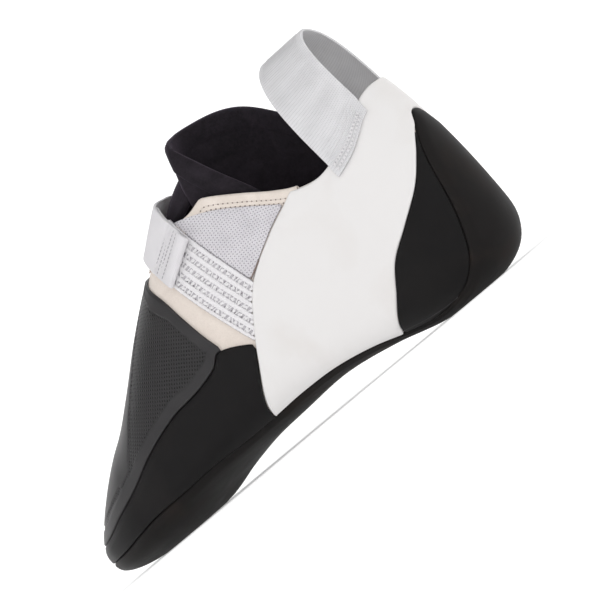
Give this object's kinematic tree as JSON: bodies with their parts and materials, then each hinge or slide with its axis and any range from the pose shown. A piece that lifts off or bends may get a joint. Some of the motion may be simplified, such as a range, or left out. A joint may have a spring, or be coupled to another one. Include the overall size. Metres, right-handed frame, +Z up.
{
  "type": "climbing shoe",
  "caption": "Right climbing shoe: wrapped rubber sole and toe, white heel sling, soft upper with a knit strap, padded ankle tongue and a webbing pull loop.",
  "frame": {"origin": "centre of the flat spot under the heel, on the floor", "axes": "+X from heel to toe, +Y to the medial side (big toe), +Z up"},
  "size_m": [0.2446, 0.0946, 0.1338],
  "materials": {
    "rubber": "matt with a soft scuffed sheen",
    "rand_rubber": "matt",
    "white_rubber": "satin",
    "microfibre": "brushed",
    "webbing": "woven",
    "neoprene": "soft knit face",
    "insole_board": "matt"
  },
  "bodies": {
    "root": {"outsole": "rubber", "insole": "insole_board", "upper": "microfibre", "heel_sling": "white_rubber", "heel_patch_medial": "rand_rubber", "heel_patch_lateral": "rand_rubber", "toe_rand": "rubber", "toe_patch": "rand_rubber", "gusset_medial": "webbing", "gusset_lateral": "webbing", "knit_strap": "webbing", "closure_strap": "webbing", "tongue": "neoprene", "pull_loop": "webbing"}
  },
  "joints": []
}
